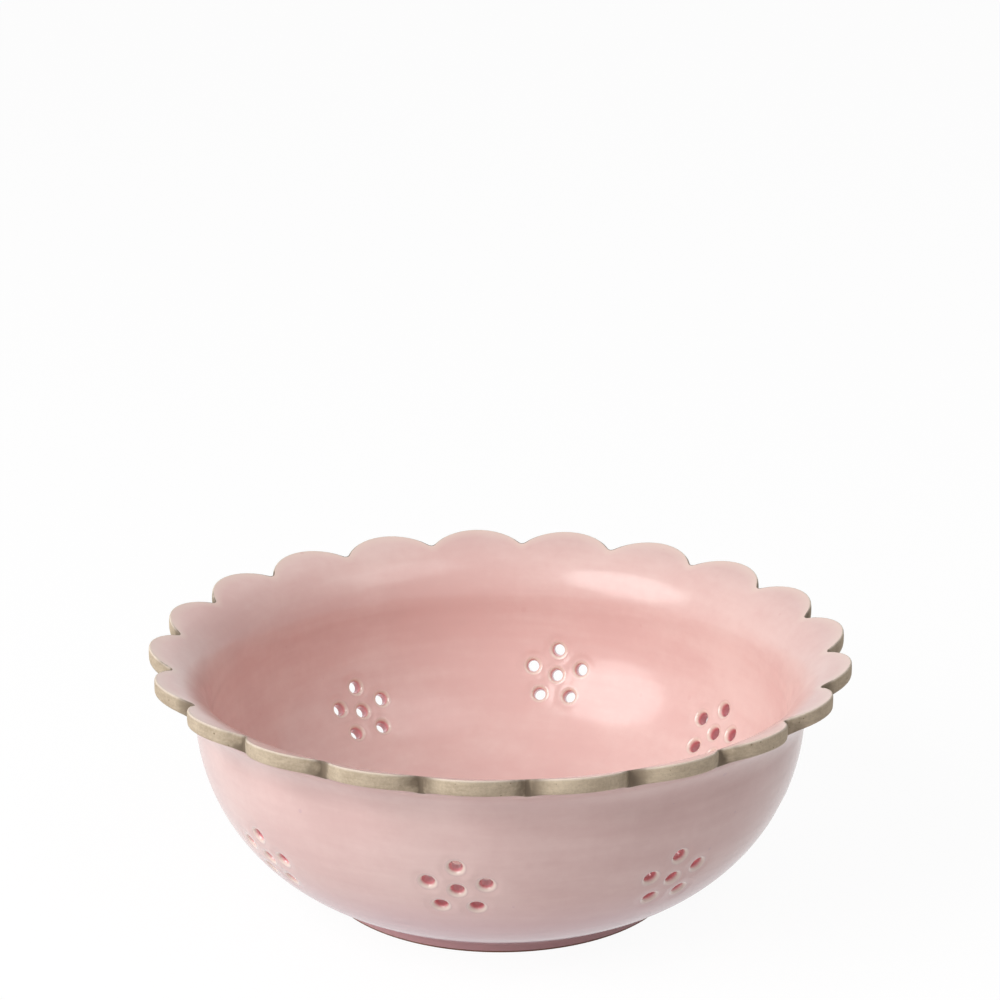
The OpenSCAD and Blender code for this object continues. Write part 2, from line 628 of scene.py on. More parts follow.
class Punch:
    """Punches holes out of part of a sheet, with one straight cut along each side of a hole's outline.

    The part is lifted out into a mesh of its own, where cuts are quick, and put back by close().
    """

    def __init__(self, home: Mesh, region: Iterable[Face]) -> None:
        """Lifts the region out.

        Args:
            home: the mesh to punch.
            region: the faces that the holes and their cuts lie on.
        """
        self.home = home
        home.faces.index_update()
        chosen = {face.index for face in region}
        self.shape = home.copy()
        for shape, lifted in ((self.shape, False), (home, True)):
            spare = [f for f in shape.faces if (f.index in chosen) is lifted]
            bmesh.ops.delete(shape, geom=spare, context="FACES")
        self.region = list(self.shape.faces)

    def _trim(self, faces: Sequence[Face], corners: Sequence[Vector]) -> list[Face]:
        """Cuts faces along a convex outline.

        Args:
            faces: the faces to cut.
            corners: the outline's corners, anticlockwise.

        Returns:
            The faces inside the outline.
        """
        for first, second in zip(corners, [*corners[1:], corners[0]]):
            outward = Vector((second.y - first.y, first.x - second.x, 0.0)).normalized()
            geom = [*faces, *(e for f in faces for e in f.edges), *(v for f in faces for v in f.verts)]
            kept = bmesh.ops.bisect_plane(self.shape, geom=list(dict.fromkeys(geom)), dist=POINT_GAP,
                                          plane_co=first, plane_no=outward)["geom"]
            cut = [item for item in kept if isinstance(item, Face)]
            self.region = list(dict.fromkeys([*self.region, *cut]))
            faces = [f for f in cut if (f.calc_center_median() - first).dot(outward) < 0.0]
        return faces

    def hole(self, middle: Vector, reach: float, outlines: Sequence[Sequence[Vector]]) -> None:
        """Punches one hole, and sets the near_hole value to 1 round it.

        Args:
            middle: point that the faces to cut lie round.
            reach: how far off their middles can be.
            outlines: the outlines to cut along, from the widest to the hole's own.
        """
        near_hole = self.shape.verts.layers.float["near_hole"]
        faces = [f for f in self.region if (f.calc_center_median() - middle).length < reach]
        for corners in outlines:
            faces = self._trim(faces, corners)
        for vert in {v for f in faces for v in f.verts}:
            vert[near_hole] = 1.0
        inside = set(faces)
        self.region = [f for f in self.region if f not in inside]
        bmesh.ops.delete(self.shape, geom=faces, context="FACES")

    def close(self) -> None:
        """Puts the punched part back."""
        sheet = bpy.data.meshes.new("punched_sheet")
        self.shape.to_mesh(sheet)
        self.shape.free()
        self.home.from_mesh(sheet)
        bpy.data.meshes.remove(sheet)


class GlazeCoat:
    """A coat of glaze: a flat slab is ruled, trimmed and punched, then bent round the bowl and thickened."""

    # Height of a row, rows from the lip out to the cut edge, and rows there over which the glaze thins
    RULE = 1.35 * MM
    RIM_ROWS = 14
    EDGE_ROWS = 2
    # How far from the middle of a flower or a hole the faces to cut lie
    FLOWER_REACH = 14.0 * MM
    HOLE_REACH = 5.0 * MM
    # Slack in telling the flat middle from the rest, and the share of it inside its one ring
    SLACK = 0.1 * MM
    MIDDLE_SHARE = 0.5
    # How far the last rows at the cut edge sink
    DIP = (0.02 * MM, 0.1 * MM)

    def __init__(self, form: BowlForm, section: Section, start: float, hole: HoleShape, columns: int,
                 rule: float = RULE) -> None:
        """Sets a coat up.

        Args:
            form: the bowl's form.
            section: the skin that the coat covers.
            start: distance along the section where the slab starts.
            hole: shape of the drain holes.
            columns: columns of the slab.
            rule: height of a row below the lip.
        """
        self.form, self.section, self.start, self.hole = form, section, start, hole
        self.columns, self.rule = columns, rule
        self.unroll = form.sizes.wall_radius
        self.shape = bmesh.new()
        self.shape.verts.layers.float.new("near_hole")
        self.near_edge = self.shape.verts.layers.float.new("near_edge")
        self.flat = self.shape.verts.layers.float_vector.new("flat")
        self.dent = self.shape.verts.layers.float_vector.new("dent")

    def roll(self, stop: float) -> None:
        """Rules the slab in equal rows, with no trimmed rim.

        Args:
            stop: distance along the section where it ends.
        """
        rows = max(2, round((stop - self.start) / self.rule))
        bmesh.ops.create_grid(self.shape, x_segments=self.columns, y_segments=rows, size=1.0)
        for vert in self.shape.verts:
            vert.co.x = (vert.co.x + 1) / 2 * TURN * self.unroll
            vert.co.y = self.start + (vert.co.y + 1) / 2 * (stop - self.start)

    def roll_to_rim(self) -> None:
        """Rules the slab in equal rows up to the lip, and from there trims it to the scalloped edge."""
        lip = self.section.lip_mark
        wall_rows = round((lip - self.start) / self.rule)
        rows = wall_rows + self.RIM_ROWS
        bmesh.ops.create_grid(self.shape, x_segments=self.columns, y_segments=rows, size=1.0)
        cuts = [self.form.rim_point(column, self.form.sizes.band) for column in range(self.columns)]
        ends = [self.section.along_at(radius) for radius, _ in [*cuts, cuts[0]]]
        turns = [*(angle - self.form.start_angle for _, angle in cuts), TURN]
        for vert in self.shape.verts:
            column = round((vert.co.x + 1) / 2 * self.columns)
            row = round((vert.co.y + 1) / 2 * rows)
            even = TURN * column / self.columns
            out = max(0.0, (row - wall_rows) / self.RIM_ROWS)
            ease = out * out * (3 - 2 * out)
            vert.co.x = (even + (turns[column] - even) * ease) * self.unroll
            if row <= wall_rows:
                vert.co.y = self.start + (lip - self.start) * row / wall_rows
            else:
                vert.co.y = lip + (ends[column] - lip) * out
            from_end = rows - row
            if from_end < len(self.DIP):
                vert.co.z = -self.DIP[len(self.DIP) - 1 - from_end]
            vert[self.near_edge] = max(0.0, 1.0 - from_end / self.EDGE_ROWS)

    def punch(self, flower: WallFlower) -> None:
        """Punches a flower of holes in the flat slab.

        Args:
            flower: the flower to punch.
        """
        seats = flower.holes(self.form, self.section.side)
        turn = (flower.turn - self.form.start_angle) % TURN

        def flat(seat: WallSeat, radius: float, spoke: float) -> Vector:
            """Finds the flat slab's place for a spoke of a hole's ring."""
            angle, along = seat.spot(radius, spoke)
            return Vector(((turn + angle - flower.turn) * self.unroll, along, 0.0))

        middles = [flat(seat, 0.0, 0.0) for seat in seats]
        punch = Punch(self.shape, [f for f in self.shape.faces
                                   if (f.calc_center_median() - middles[-1]).length < self.FLOWER_REACH])
        for seat, middle in zip(seats, middles):
            punch.hole(middle, self.HOLE_REACH, self.hole.outlines(partial(flat, seat)))
        dent = punch.shape.verts.layers.float_vector["dent"]
        for vert in punch.shape.verts:
            width = self.section.at(vert.co.y)[0] / self.unroll
            for middle in middles:
                gap = vert.co - middle
                vert[dent] += self.hole.dent(Vector((gap.x * width, gap.y)))
        punch.close()

    def bend(self) -> None:
        """Bends the flat slab round the bowl and joins its two ends."""
        for vert in self.shape.verts:
            vert[self.flat] = vert.co.copy()
            vert.co = self.section.place(vert.co.y, self.form.start_angle + vert.co.x / self.unroll,
                                         vert.co.z - vert[self.dent].z)
        bmesh.ops.remove_doubles(self.shape, verts=self.shape.verts[:], dist=SEAM_GAP)

    def fill_middle(self, flower: FloorFlower, height: float) -> None:
        """Closes the flat middle, with its flower of holes.

        Args:
            flower: the flower in the floor.
            height: height of the flat face.
        """
        radius = self.section.at(self.start)[0]
        rims = [e for e in self.shape.edges if len(e.link_faces) == 1
                and all(v.co.xy.length < radius + self.SLACK for v in e.verts)]
        ring = new_verts(bmesh.ops.extrude_edge_only(self.shape, edges=rims)["geom"])
        shrink = Vector((self.MIDDLE_SHARE, self.MIDDLE_SHARE, 1.0))
        bmesh.ops.scale(self.shape, vec=shrink, verts=ring)
        disc = bmesh.ops.edgeloop_fill(self.shape, edges=edges_of(ring))["faces"]
        punch = Punch(self.shape, {*disc, *(f for v in ring for f in v.link_faces)})
        seats = flower.holes(height, self.section.side)
        for seat in seats:
            outlines = self.hole.outlines(partial(seat.place, lift=0.0))
            punch.hole(Vector((0.0, 0.0, height)), radius / 2, outlines)
        punch.close()
        bmesh.ops.remove_doubles(self.shape, verts=self.shape.verts[:], dist=SEAM_GAP)
        for vert in (v for v in self.shape.verts if v.co.xy.length < radius - self.SLACK):
            angle = math.atan2(vert.co.y, vert.co.x)
            outward = Vector((math.cos(angle), math.sin(angle)))
            vert[self.flat] = Vector(((angle - self.form.start_angle) * self.unroll, vert.co.xy.length, 0.0))
            for seat in seats:
                dent = self.hole.dent(vert.co.xy - Vector((seat.x, seat.y)))
                vert[self.dent] += Vector((-dent.xy.cross(outward), dent.xy.dot(outward), dent.z))
            vert.co.z -= self.section.side.value * vert[self.dent].z

    def thicken(self) -> Mesh:
        """Gives the coat its thickness into the clay and stores its true normals.

        Returns:
            The closed mesh.
        """
        normal = self.shape.verts.layers.float_vector.new(TRUE_NORMAL)
        for vert in self.shape.verts:
            x, along, _ = vert[self.flat]
            angle = self.form.start_angle + x / self.unroll
            around = Vector((-math.sin(angle), math.cos(angle), 0.0))
            heading = self.section.at(along)[2]
            up = Vector((math.cos(heading) * around.y, -math.cos(heading) * around.x, math.sin(heading)))
            tilt = vert[self.dent].x * around + vert[self.dent].y * up
            vert[normal] = (self.section.normal(along, angle) + tilt).normalized()
        under = bmesh.ops.extrude_face_region(self.shape, geom=self.shape.faces[:], use_keep_orig=True)
        for vert in new_verts(under["geom"]):
            x, along, lift = vert[self.flat]
            vert.co = self.section.place(along, self.form.start_angle + x / self.unroll,
                                         min(lift, 0.0) - self.form.sizes.coat)
            vert[normal] = -vert[normal]
        bmesh.ops.recalc_face_normals(self.shape, faces=self.shape.faces[:])
        return self.shape


@dataclass(frozen=True)
class DrainLining:
    """The glaze that lines the six drain holes of one flower, with a rounded mouth on both skins."""

    sizes: BowlSizes
    hole: HoleShape

    def mouth(self) -> list[tuple[float, float, float]]:
        """Draws one mouth.

        Returns:
            Radius, lift and glaze pooling of the rings from the skin into the bore.
        """
        hole = self.hole
        rings = [(hole.edge, -hole.dimple, 0.0)]
        for step in range(hole.round_steps + 1):
            lean = math.pi / 2 * step / hole.round_steps
            rings.append((hole.mouth - (hole.mouth - hole.waist) * math.sin(lean),
                          -hole.dimple - hole.mouth_depth * (1 - math.cos(lean)), step / hole.round_steps))
        return rings

    def line(self, outer: Sequence[WallSeat | FlatSeat], inner: Sequence[WallSeat | FlatSeat]) -> Mesh:
        """Lines each hole of a flower.

        Args:
            outer: the holes' seats on the outer skin.
            inner: the same holes' seats on the inner skin.

        Returns:
            The closed mesh of all the linings.
        """
        shape = bmesh.new()
        pool = shape.verts.layers.float.new("pool")
        inward = shape.verts.layers.float.new("inward")
        face = self.mouth()
        back = [(self.hole.clay_bore, -self.sizes.glaze, 0.0), (self.hole.edge, -self.sizes.coat, 0.0)]
        for out_seat, in_seat in zip(outer, inner):
            rings = [(out_seat, 0.0, spec) for spec in face]
            rings += [(in_seat, 1.0, spec) for spec in [*reversed(face), *reversed(back)]]
            rings += [(out_seat, 0.0, spec) for spec in [*back, face[0]]]
            verts: list[Vert] = []
            for seat, side, (radius, lift, pooling) in rings:
                verts = grow(shape, verts, self.hole.spokes, partial(seat.place, radius, lift=lift))
                for vert in verts:
                    vert[pool], vert[inward] = pooling, side
        return close_shell(shape)


class BareEdge:
    """The cut edge of the brim, left bare: a band that follows every scallop."""

    STEPS = 18
    # Power of the superellipse that rounds the face
    FULLNESS = 3.2
    # Columns over which the painted shade and staining in a valley fade
    VALLEY_COLUMNS = 8.0

    def __init__(self, form: BowlForm, dip: float) -> None:
        """Keeps the form.

        Args:
            form: the bowl's form.
            dip: how far the band starts below the glaze on both skins.
        """
        self.form, self.dip = form, dip

    def strip(self) -> list[Span]:
        """Draws the band's full, softly rounded face.

        Returns:
            Inset and share of the height of each line of the band, from top to bottom.
        """
        points = []
        for step in range(self.STEPS + 1):
            lean = math.pi * step / self.STEPS
            across, out = math.cos(lean), abs(math.sin(lean))
            share = (1 - math.copysign(abs(across) ** (2 / self.FULLNESS), across)) / 2
            points.append((self.form.sizes.band * (1 - out ** (2 / self.FULLNESS)), share))
        return points

    def _place(self, inset: float, share: float, spoke: float) -> Vector:
        """Puts a point of the band into the bowl.

        Args:
            inset: distance in from the cut edge.
            share: share of the way from the glaze above down to the glaze below.
            spoke: the point's place among the rim's columns, as an angle.

        Returns:
            The point in the bowl's frame.
        """
        radius, angle = self.form.rim_point(round(spoke / TURN * self.form.columns), inset)
        high = self.form.inside.height_at(radius) - self.dip
        low = self.form.outside.height_at(radius) + self.dip
        return Vector((radius * math.cos(angle), radius * math.sin(angle), high + (low - high) * share))

    def build(self) -> Mesh:
        """Sweeps the band round the scallops.

        Returns:
            The closed mesh.
        """
        shape = bmesh.new()
        across = shape.verts.layers.float.new("across")
        valley = shape.verts.layers.float.new("valley")
        strip = self.strip()
        verts: list[Vert] = []
        for order, spec in enumerate([*strip, strip[0]]):
            verts = grow(shape, verts, self.form.columns, partial(self._place, *spec))
            for column, vert in enumerate(verts):
                step = column % self.form.lobe_columns
                gap = min(step, self.form.lobe_columns - step)
                vert[across] = (order % len(strip)) / self.STEPS
                # How near a valley, for the painted shade and staining there
                vert[valley] = max(0.0, 1.0 - gap / self.VALLEY_COLUMNS)
        return close_shell(shape)


@dataclass(frozen=True)
class FootRing:
    """The turned foot, bare where it stands, with rounded corners."""

    STEPS = 168
    CORNER_STEPS = 4

    sizes: BowlSizes

    def build(self) -> Mesh:
        """Spins the foot's section.

        Returns:
            The closed mesh.
        """
        sizes, soft = self.sizes, self.sizes.foot_bare
        side = sizes.foot_radius - sizes.coat
        leans = [math.pi / 2 * step / self.CORNER_STEPS for step in range(self.CORNER_STEPS + 1)]
        drops = [(soft * (1 - math.cos(lean)), soft * (1 - math.sin(lean))) for lean in leans]
        points = [(side, sizes.foot_height), (side, soft),
                  *((sizes.foot_radius - first, second) for first, second in drops),
                  *((sizes.well_radius + second, first) for first, second in drops),
                  (sizes.well_radius, sizes.foot_height)]
        shape = bmesh.new()
        verts = [shape.verts.new((radius, 0.0, height)) for radius, height in points]
        edges = [shape.edges.new(pair) for pair in zip(verts, [*verts[1:], verts[0]])]
        bmesh.ops.spin(shape, geom=[*verts, *edges], cent=(0, 0, 0), axis=(0, 0, 1), angle=TURN,
                       steps=self.STEPS, use_merge=True)
        return close_shell(shape)


def tone(red: float, green: float, blue: float) -> Tone:
    """Turns a colour as seen, 0 to 255 a channel, into the linear colour that a shader takes."""
    return (*Color((red / 255, green / 255, blue / 255)).from_srgb_to_scene_linear(), 1.0)


@dataclass(frozen=True)
class Grain:
    """A noise: how fine it is, in waves a metre, its share in a sum, its detail and its roughness."""

    scale: float
    share: float = 1.0
    detail: float = 3.0
    rough: float = 0.5


class Nodes:
    """A short hand for building a node tree."""

    def __init__(self, tree: bpy.types.NodeTree) -> None:
        """Keeps the tree.

        Args:
            tree: the tree to build in.
        """
        self.tree = tree

    def feed(self, node: Node, inputs: Inputs) -> None:
        """Feeds a node's inputs.

        Args:
            node: the node.
            inputs: socket name or number to a value or to the socket that feeds it.
        """
        for name, value in inputs.items():
            if isinstance(value, Socket):
                self.tree.links.new(value, node.inputs[name])
            else:
                node.inputs[name].default_value = value

    def add(self, kind: str, inputs: Inputs | None = None, **settings: object) -> Node:
        """Adds a node.

        Args:
            kind: the node's type.
            inputs: socket name or number to a value or to the socket that feeds it.
            settings: the node's own settings.

        Returns:
            The new node.
        """
        node = self.tree.nodes.new(kind)
        for name, value in settings.items():
            setattr(node, name, value)
        self.feed(node, inputs or {})
        return node

    def times(self, first: object, second: object) -> Socket:
        """Multiplies two values."""
        return self.add("ShaderNodeMath", {0: first, 1: second}, operation="MULTIPLY").outputs[0]

    def below(self, first: object, second: object) -> Socket:
        """Tells, as 1 or 0, whether the first value is less than the second."""
        return self.add("ShaderNodeMath", {0: first, 1: second}, operation="LESS_THAN").outputs[0]

    def total(self, first: object, *others: object, clamp: bool = False) -> Socket:
        """Adds values up.

        Args:
            first: the first value.
            others: the values to add to it.
            clamp: whether each sum is held between 0 and 1.

        Returns:
            The sum's socket.
        """
        for other in others:
            node = self.add("ShaderNodeMath", {0: first, 1: other}, operation="ADD", use_clamp=clamp)
            first = node.outputs[0]
        return first

    def blend(self, share: object, first: object, second: object) -> Socket:
        """Mixes two colours."""
        return self.add("ShaderNodeMix", {0: share, 6: first, 7: second}, data_type="RGBA",
                        clamp_factor=True).outputs[2]

    def noise(self, place: Socket, grain: Grain) -> Socket:
        """Adds a noise."""
        return self.add("ShaderNodeTexNoise", {"Vector": place, "Scale": grain.scale, "Detail": grain.detail,
                                               "Roughness": grain.rough}).outputs["Fac"]

    def layer(self, place: Socket, grain: Grain) -> Socket:
        """Adds a noise, times its share."""
        return self.times(self.noise(place, grain), grain.share)

    def press(self, place: Socket, share: float) -> Socket:
        """Presses a pattern flat, so that it runs round the bowl."""
        return self.add("ShaderNodeMapping", {"Vector": place, "Scale": (1.0, 1.0, share)}).outputs[0]

    def height_of(self, place: Socket) -> Socket:
        """Takes the height out of a place."""
        return self.add("ShaderNodeSeparateXYZ", {0: place}).outputs[2]

    def remap(self, value: object, span: Span, low: float = 0.0, high: float = 1.0) -> Socket:
        """Maps a span smoothly onto a range."""
        return self.add("ShaderNodeMapRange", {"Value": value, "From Min": span[0], "From Max": span[1],
                                               "To Min": low, "To Max": high},
                        interpolation_type="SMOOTHSTEP").outputs["Result"]

    def value_of(self, name: str) -> Socket:
        """Reads a value that the piece's vertices carry."""
        return self.add("ShaderNodeAttribute", attribute_name=name).outputs["Fac"]

    def group(self, tree: bpy.types.NodeTree, inputs: Inputs) -> Node:
        """Places a node group with its own values."""
        return self.add("ShaderNodeGroup", inputs, node_tree=tree)


VALUE, COLOUR, VECTOR = "NodeSocketFloat", "NodeSocketColor", "NodeSocketVector"


class Effects:
    """The shared effects, each built once as a node group."""

    CLOUDS = Grain(24.0, 0.62, 4.0, 0.55)
    STROKES = Grain(38.0, 0.26, 3.0, 0.6)
    STROKE_PRESS = 7.0
    MOTTLE = Grain(420.0, 0.12, 3.0, 0.6)
    CLOUD_SPAN = (0.36, 0.64)
    # Radians of the throwing rings a metre of height
    RING_PACE = 1900.0
    RING_HEIGHT = 0.010 * MM
    WANDER = Grain(16.0, 5.0, 2.0)
    PEEL = Grain(620.0, 0.018 * MM, 2.0)
    SWELL = Grain(85.0, 0.22 * MM, 2.0)
    GLOSS = 0.15
    SATIN = Grain(150.0, 0.11)
    SPECK_SIZE = 0.24
    GROG = Grain(1500.0, 0.35, 4.0, 0.65)
    GROG_HEIGHT = 0.05 * MM
    DRAG = Grain(260.0, 0.30, 3.0, 0.6)
    DRAG_HEIGHT = 0.07 * MM
    DRAG_PRESS = 5.0
    PATCHES = Grain(120.0, 0.35, 3.0, 0.6)
    CLAY_SPAN = (0.34, 0.66)

    def __init__(self) -> None:
        """Builds every group."""
        self.glaze = self._glaze()
        self.specks = self._specks()
        self.clay = self._clay()

    @staticmethod
    def _start(name: str, inputs: dict[str, str], outputs: dict[str, str]) -> tuple[Nodes, Node, Node]:
        """Starts a node group.

        Args:
            name: the group's name.
            inputs: socket name to socket type.
            outputs: socket name to socket type.

        Returns:
            The group's node builder, and its input and output nodes.
        """
        group = bpy.data.node_groups.new(name, "ShaderNodeTree")
        for way, sockets in (("INPUT", inputs), ("OUTPUT", outputs)):
            for label, kind in sockets.items():
                group.interface.new_socket(name=label, in_out=way, socket_type=kind)
        nodes = Nodes(group)
        return nodes, nodes.add("NodeGroupInput"), nodes.add("NodeGroupOutput")

    def _glaze(self) -> bpy.types.NodeTree:
        """Builds the brushed glaze: clouded colour, faint throwing rings and a soft uneven skin.

        Returns:
            The group.
        """
        nodes, given, made = self._start("brushed_glaze", {"Place": VECTOR, "Pale": COLOUR, "Deep": COLOUR},
                                         {"Colour": COLOUR, "Roughness": VALUE, "Height": VALUE})
        place = given.outputs["Place"]
        strokes = nodes.layer(nodes.press(place, self.STROKE_PRESS), self.STROKES)
        share = nodes.total(nodes.layer(place, self.CLOUDS), strokes, nodes.layer(place, self.MOTTLE))
        cloudy = nodes.remap(share, self.CLOUD_SPAN)
        colour = nodes.blend(cloudy, given.outputs["Pale"], given.outputs["Deep"])
        climb = nodes.times(nodes.height_of(place), self.RING_PACE)
        wavy = nodes.total(climb, nodes.layer(place, self.WANDER))
        rings = nodes.add("ShaderNodeMath", {0: wavy}, operation="SINE").outputs[0]
        height = nodes.total(nodes.times(rings, self.RING_HEIGHT), nodes.layer(place, self.PEEL),
                             nodes.layer(place, self.SWELL))
        rough = nodes.total(self.GLOSS, nodes.layer(place, self.SATIN))
        nodes.feed(made, {"Colour": colour, "Roughness": rough, "Height": height})
        return nodes.tree

    def _specks(self) -> bpy.types.NodeTree:
        """Builds the kiln's specks: small dots of uneven size scattered over the surface.

        Returns:
            The group.
        """
        nodes, given, made = self._start("kiln_specks", {"Place": VECTOR, "Scale": VALUE, "Amount": VALUE},
                                         {"Mask": VALUE})
        cells = nodes.add("ShaderNodeTexVoronoi", {"Vector": given.outputs["Place"],
                                                   "Scale": given.outputs["Scale"], "Randomness": 1.0})
        luck = nodes.add("ShaderNodeSeparateColor", {0: cells.outputs["Color"]}).outputs
        dot = nodes.below(cells.outputs["Distance"], nodes.times(luck[1], self.SPECK_SIZE))
        nodes.feed(made, {"Mask": nodes.times(dot, nodes.below(luck[0], given.outputs["Amount"]))})
        return nodes.tree

    def _clay(self) -> bpy.types.NodeTree:
        """Builds the bare clay's grain: fine grog, pits and drag marks.

        Returns:
            The group.
        """
        nodes, given, made = self._start("clay_grain", {"Place": VECTOR}, {"Shade": VALUE, "Height": VALUE})
        place = given.outputs["Place"]
        grog = nodes.noise(place, self.GROG)
        drag = nodes.noise(nodes.press(place, self.DRAG_PRESS), self.DRAG)
        shade = nodes.total(nodes.times(grog, self.GROG.share), nodes.times(drag, self.DRAG.share),
                            nodes.layer(place, self.PATCHES))
        height = nodes.total(nodes.times(grog, self.GROG_HEIGHT), nodes.times(drag, self.DRAG_HEIGHT))
        nodes.feed(made, {"Shade": nodes.remap(shade, self.CLAY_SPAN), "Height": height})
        return nodes.tree


@dataclass(frozen=True)
class Specks:
    """How kiln specks lie: cells a metre, the share of cells that hold one, and how strongly it shows."""

    scale: float
    amount: float
    share: float


@dataclass(frozen=True)
class Finish:
    """What every finish shares: a material with a Principled shader, specks and a bump."""

    name: str
    effects: Effects

    def start(self) -> tuple[Material, Nodes, Node, Socket]:
        """Starts the material.

        Returns:
            The material, its node builder, its shader and the object's coordinates.
        """
        material = bpy.data.materials.new(self.name)
        material.use_nodes = True
        nodes = Nodes(material.node_tree)
        place = nodes.add("ShaderNodeTexCoord").outputs["Object"]
        return material, nodes, material.node_tree.nodes["Principled BSDF"], place

    def speckle(self, nodes: Nodes, place: Socket, specks: Specks) -> Socket:
        """Scatters specks.

        Args:
            nodes: the material's node builder.
            place: the object's coordinates.
            specks: how the specks lie.

        Returns:
            How strongly a speck shows at each place.
        """
        spread = nodes.group(self.effects.specks, {"Place": place, "Scale": specks.scale,
                                                   "Amount": specks.amount})
        return nodes.times(spread.outputs["Mask"], specks.share)

    @staticmethod
    def bump(nodes: Nodes, height: Socket, strength: float) -> Socket:
        """Turns a height in metres into a normal."""
        return nodes.add("ShaderNodeBump", {"Strength": strength, "Distance": 1.0,
                                            "Height": height}).outputs[0]


@dataclass(frozen=True)
class GlazeFinish(Finish):
    """A glossy glaze coat over the clay: it deepens low down, from pooling and, outside, painted bounce light
    off the floor; it has painted shade near the foot and thins at the cut edge.
    """

    pale: Tone
    deep: Tone
    # Low colour: pooled glaze, and on the outside also painted cool bounce light from the floor
    low: Tone
    thin: Tone
    hole: Tone
    # Painted shade low on the glaze by the foot
    foot: Tone
    pooling_and_bounce_span: Span
    foot_shade_top: float
    sag: Grain = Grain(60.0, 6.0 * MM)
    foot_shade_fade: Span = (1.5 * MM, -0.5 * MM)
    thin_share: float = 0.75
    hole_share: float = 0.35
    specks: Specks = Specks(330.0, 0.05, 0.35)
    ior: float = 1.42
    coat: float = 0.15
    coat_rough: float = 0.16
    relief: float = 0.6

    def material(self) -> Material:
        """Builds the coat's material.

        Returns:
            The material.
        """
        material, nodes, shader, place = self.start()
        glaze = nodes.group(self.effects.glaze, {"Place": place, "Pale": self.pale,
                                                 "Deep": self.deep}).outputs
        height = nodes.height_of(place)
        # Deeper low down: pooled glaze, and on the outside painted cool bounce light from the floor
        pooling_and_bounce_light = nodes.remap(nodes.total(height, nodes.layer(place, self.sag)), self.pooling_and_bounce_span)
        # Painted shade on the glaze just above the foot
        foot_shade = nodes.remap(height, tuple(self.foot_shade_top + gap for gap in self.foot_shade_fade))
        thinned = nodes.times(nodes.value_of("near_edge"), self.thin_share)
        punched = nodes.times(nodes.value_of("near_hole"), self.hole_share)
        speckled = self.speckle(nodes, place, self.specks)
        colour = glaze["Colour"]
        for share, shade in ((pooling_and_bounce_light, self.low), (foot_shade, self.foot), (thinned, self.thin),
                             (punched, self.hole), (speckled, self.low)):
            colour = nodes.blend(share, colour, shade)
        nodes.feed(shader, {"Base Color": colour, "Roughness": glaze["Roughness"], "IOR": self.ior,
                            "Coat Weight": self.coat, "Coat Roughness": self.coat_rough,
                            "Normal": self.bump(nodes, glaze["Height"], self.relief)})
        return material


@dataclass(frozen=True)
class LiningFinish(Finish):
    """Glaze that pools deep rose in the bores and matches each coat at its mouths, through a cream ring of
    thin glaze and painted highlight.
    """

    outer: Tone
    inner: Tone
    bore: Tone
    # Cream of the mouth's ring: thin glaze with a painted highlight
    ring: Tone
    mouth_span: Span = (0.0, 0.35)
    mouth_share: float = 0.75
    bore_span: Span = (0.4, 0.9)
    tint: Grain = Grain(500.0, 0.2)
    satin: Grain = Grain(700.0)
    satin_span: Span = (0.3, 0.7)
    gloss: Span = (0.10, 0.22)
    ripple: Grain = Grain(700.0, 0.02 * MM, 2.0)
    ior: float = 1.52
    coat: float = 0.5
    coat_rough: float = 0.05
    relief: float = 0.6

    def material(self) -> Material:
        """Builds the lining's material.

        Returns:
            The material.
        """
        material, nodes, shader, place = self.start()
        pool = nodes.value_of("pool")
        coat = nodes.blend(nodes.value_of("inward"), self.outer, self.inner)
        # Pales the mouth to cream: thin glaze with a painted highlight
        mouth = nodes.blend(nodes.remap(pool, self.mouth_span, 0.0, self.mouth_share), coat, self.ring)
        deep = nodes.blend(nodes.remap(pool, self.bore_span), mouth, self.bore)
        colour = nodes.blend(nodes.layer(place, self.tint), deep, self.ring)
        rough = nodes.remap(nodes.noise(place, self.satin), self.satin_span, *self.gloss)
        nodes.feed(shader, {"Base Color": colour, "Roughness": rough, "IOR": self.ior,
                            "Coat Weight": self.coat, "Coat Roughness": self.coat_rough,
                            "Normal": self.bump(nodes, nodes.layer(place, self.ripple), self.relief)})
        return material


@dataclass(frozen=True)
class ClayFinish(Finish):
    """Bare fired clay."""

    light: Tone
    dark: Tone
    speck: Tone
    specks: Specks = Specks(900.0, 0.22, 0.7)
    dryness: Span = (0.72, 0.9)
    relief: float = 0.8

    def stain_and_paint_light(self, nodes: Nodes, place: Socket, colour: Socket) -> Socket:
        """Leaves plain clay as it is."""
        return colour

    def material(self) -> Material:
        """Builds the clay's material.

        Returns:
            The material.
        """
        material, nodes, shader, place = self.start()
        clay = nodes.group(self.effects.clay, {"Place": place}).outputs
        colour = nodes.blend(clay["Shade"], self.dark, self.light)
        colour = nodes.blend(self.speckle(nodes, place, self.specks), colour, self.speck)
        nodes.feed(shader, {"Base Color": self.stain_and_paint_light(nodes, place, colour),
                            "Roughness": nodes.remap(clay["Shade"], (0.0, 1.0), *self.dryness),
                            "Normal": self.bump(nodes, clay["Height"], self.relief)})
        return material


